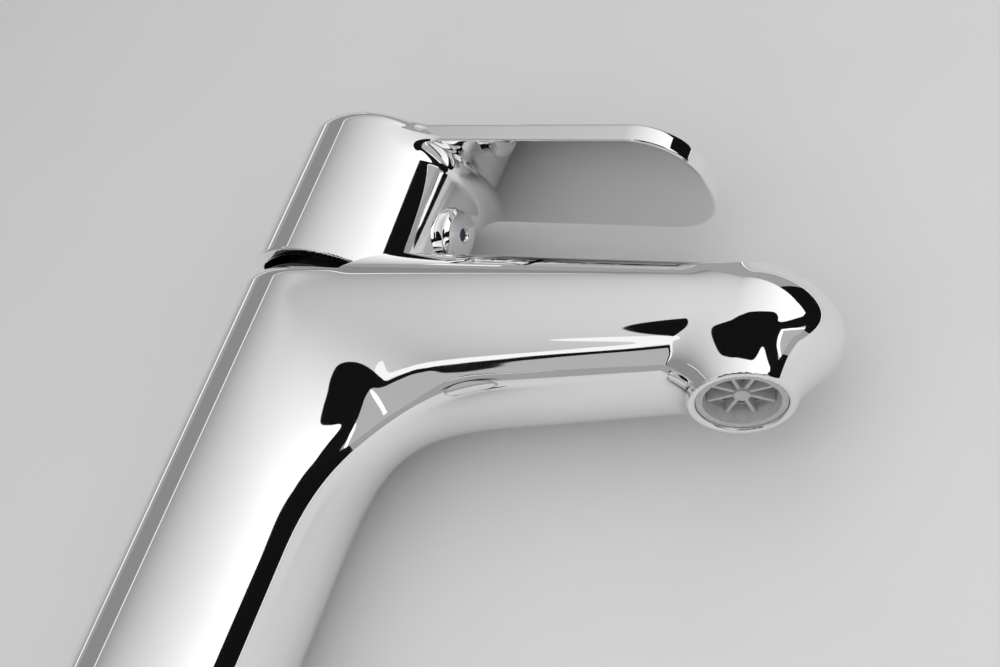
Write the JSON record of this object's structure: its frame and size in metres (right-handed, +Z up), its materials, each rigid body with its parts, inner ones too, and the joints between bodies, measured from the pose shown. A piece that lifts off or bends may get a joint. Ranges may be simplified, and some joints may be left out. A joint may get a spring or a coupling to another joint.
{
  "type": "bathroom mixer faucet",
  "caption": "Single-lever deck-mounted basin mixer: upright round body, tapering spout with tilted aerator, flat paddle lever on a round cap, and stud, washers and nut under the deck.",
  "frame": {"origin": "centre of the deck hole on the deck's top face, on the axis of the upright body", "axes": "+Z up along the body, +X the way the spout and the lever at rest point, +Y to the left of that"},
  "size_m": [0.1622, 0.05, 0.2415],
  "materials": {
    "chrome": "mirror-polished chrome plating on brass or zinc",
    "black_rubber": "moulded",
    "steel": "zinc-plated or turned",
    "brass": "turned",
    "cartridge_plastic": "moulded",
    "red_plastic": "moulded",
    "ceramic": "ground and polished",
    "dark_plastic": "moulded",
    "blue_enamel": "smooth inlay",
    "grey_plastic": "moulded"
  },
  "bodies": {
    "faucet": {"body": "chrome", "base_seal": "black_rubber", "mounting_stud": "steel", "rubber_washer": "black_rubber", "steel_washer": "steel", "stud_nut": "brass", "cartridge_base": "cartridge_plastic", "cartridge_seals": "black_rubber", "cartridge_housing": "cartridge_plastic", "limiter_ring": "red_plastic", "cartridge_nut": "brass", "fixed_disc": "ceramic", "dome_cover": "dark_plastic", "aerator_ring": "grey_plastic", "flow_straightener": "grey_plastic", "jet_plate": "grey_plastic", "aerator_screen": "grey_plastic", "aerator_seal": "black_rubber"},
    "rotor": {"rotor": "cartridge_plastic", "pivot_pin": "steel"},
    "lever": {"lever": "chrome", "stem": "steel", "grub_screw": "steel", "plug": "chrome", "blue_dot": "blue_enamel"},
    "disc": {"moving_disc": "ceramic", "disc_carrier": "cartridge_plastic"}
  },
  "joints": [
    {"name": "lever_turn", "type": "hinge", "parent": "faucet", "child": "rotor", "pos_m": [0, 0, 0.129], "axis": [0, 0, 1], "range_deg": [-45, 45]},
    {"name": "lever_lift", "type": "hinge", "parent": "rotor", "child": "lever", "pos_m": [-0.003, 0, 0.129], "axis": [0, -1, 0], "range_deg": [0, 15]},
    {"name": "disc_slide", "type": "slide", "parent": "rotor", "child": "disc", "axis": [1, 0, 0], "range_m": [0, 0.0035]}
  ],
  "couplings": [
    {"joint": "disc_slide", "follows": "lever_lift", "m_per_rad": 0.013}
  ]
}
